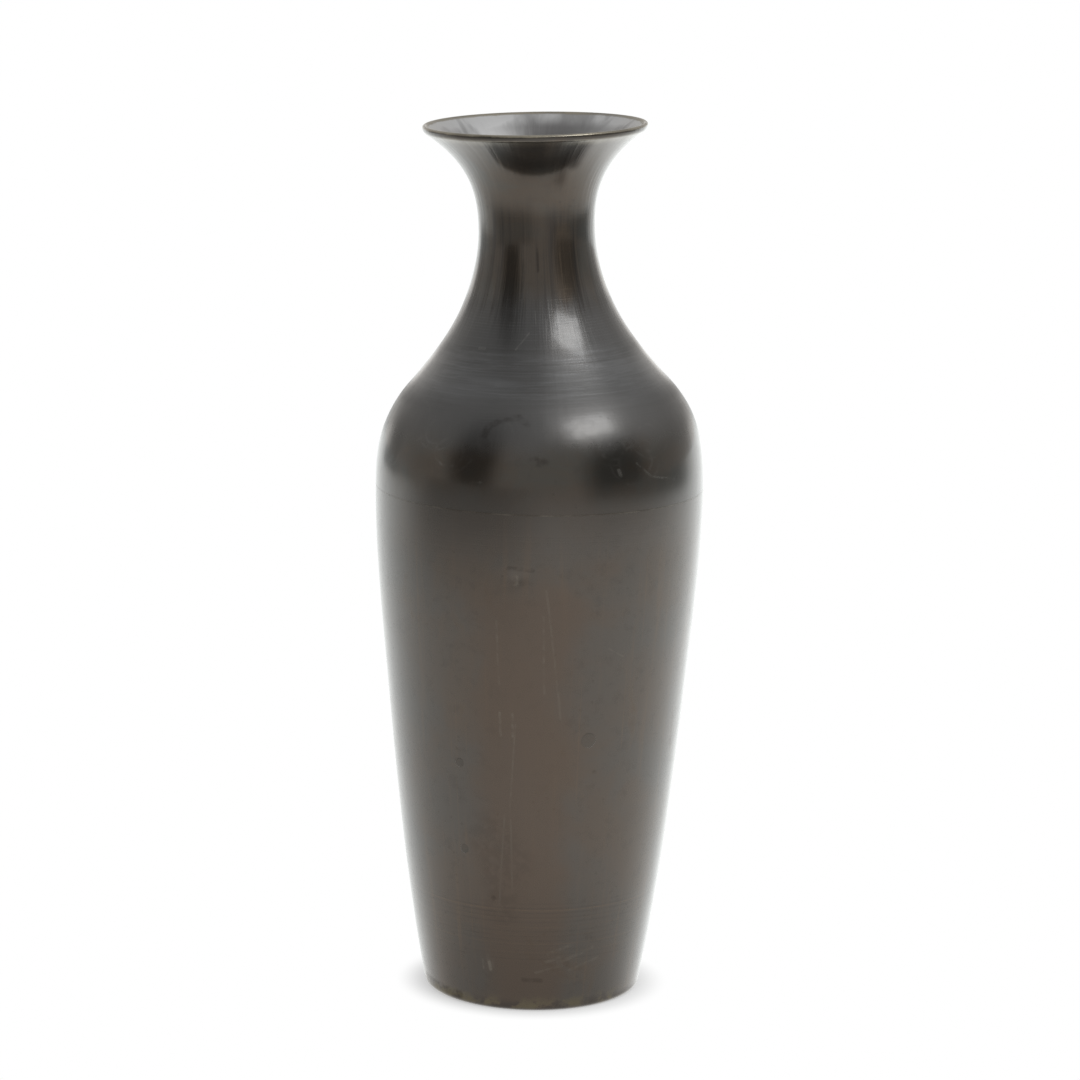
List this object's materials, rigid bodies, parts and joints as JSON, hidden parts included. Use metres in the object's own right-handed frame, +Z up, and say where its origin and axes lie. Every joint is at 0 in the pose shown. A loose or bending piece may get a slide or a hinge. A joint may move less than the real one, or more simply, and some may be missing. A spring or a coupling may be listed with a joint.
{
  "type": "bottle vase",
  "caption": "Hollow cast bronze bottle vase: tapering body on a recessed foot, rounded shoulder, narrow neck and flared mouth.",
  "frame": {"origin": "centre of the foot's standing face, on the surface that the vase stands on", "axes": "+Z up along the lower casting's axis, +X to the right in the picture, -Y towards the viewer"},
  "size_m": [0.1122, 0.1122, 0.3011],
  "materials": {
    "lower_bronze": "dark brown patinated bronze, wiped and softly polished",
    "upper_bronze": "dark grey brown patinated bronze, polished, with turning lines",
    "braze": "filed braze, slightly lighter than the bronze",
    "plate_bronze": "dull turned bronze, thinly patinated",
    "solder": "dull grey solder",
    "plug_bronze": "dark bronze plug, filed flush"
  },
  "bodies": {
    "root": {"lower_body": "lower_bronze", "upper_body": "upper_bronze", "seam_braze": "braze", "base_plate": "plate_bronze", "base_solder": "solder", "core_plug_left_high": "plug_bronze", "core_plug_left_low": "plug_bronze", "core_plug_right": "plug_bronze"}
  },
  "joints": []
}
